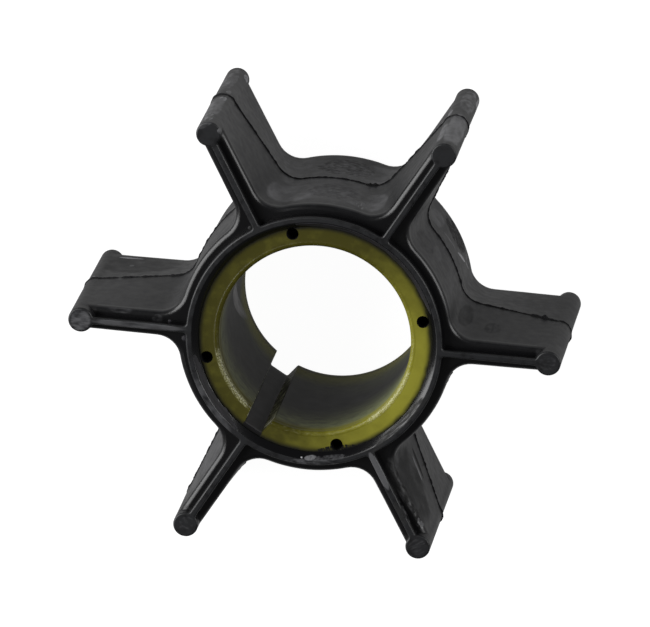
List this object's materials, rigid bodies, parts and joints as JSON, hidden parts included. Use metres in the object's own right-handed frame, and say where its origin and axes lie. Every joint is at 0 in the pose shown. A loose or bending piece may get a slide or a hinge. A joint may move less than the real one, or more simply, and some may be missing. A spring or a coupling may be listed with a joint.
{
  "type": "rubber pump impeller",
  "caption": "Flexible water-pump impeller: straight rubber vanes with sealing beads, moulded round a keyed resin bushing.",
  "frame": {"origin": "on the shaft axis, at the lower sealing face that the impeller lies on", "axes": "+Z along the shaft axis; the keyway and the vane behind it point along -Y"},
  "size_m": [0.0576, 0.066, 0.0294],
  "materials": {
    "vane_rubber": "satin moulded neoprene with faint mould bloom",
    "insert_resin": "translucent olive-amber moulded resin"
  },
  "bodies": {
    "root": {"rubber_body": "vane_rubber", "hub_insert": "insert_resin"}
  },
  "joints": []
}
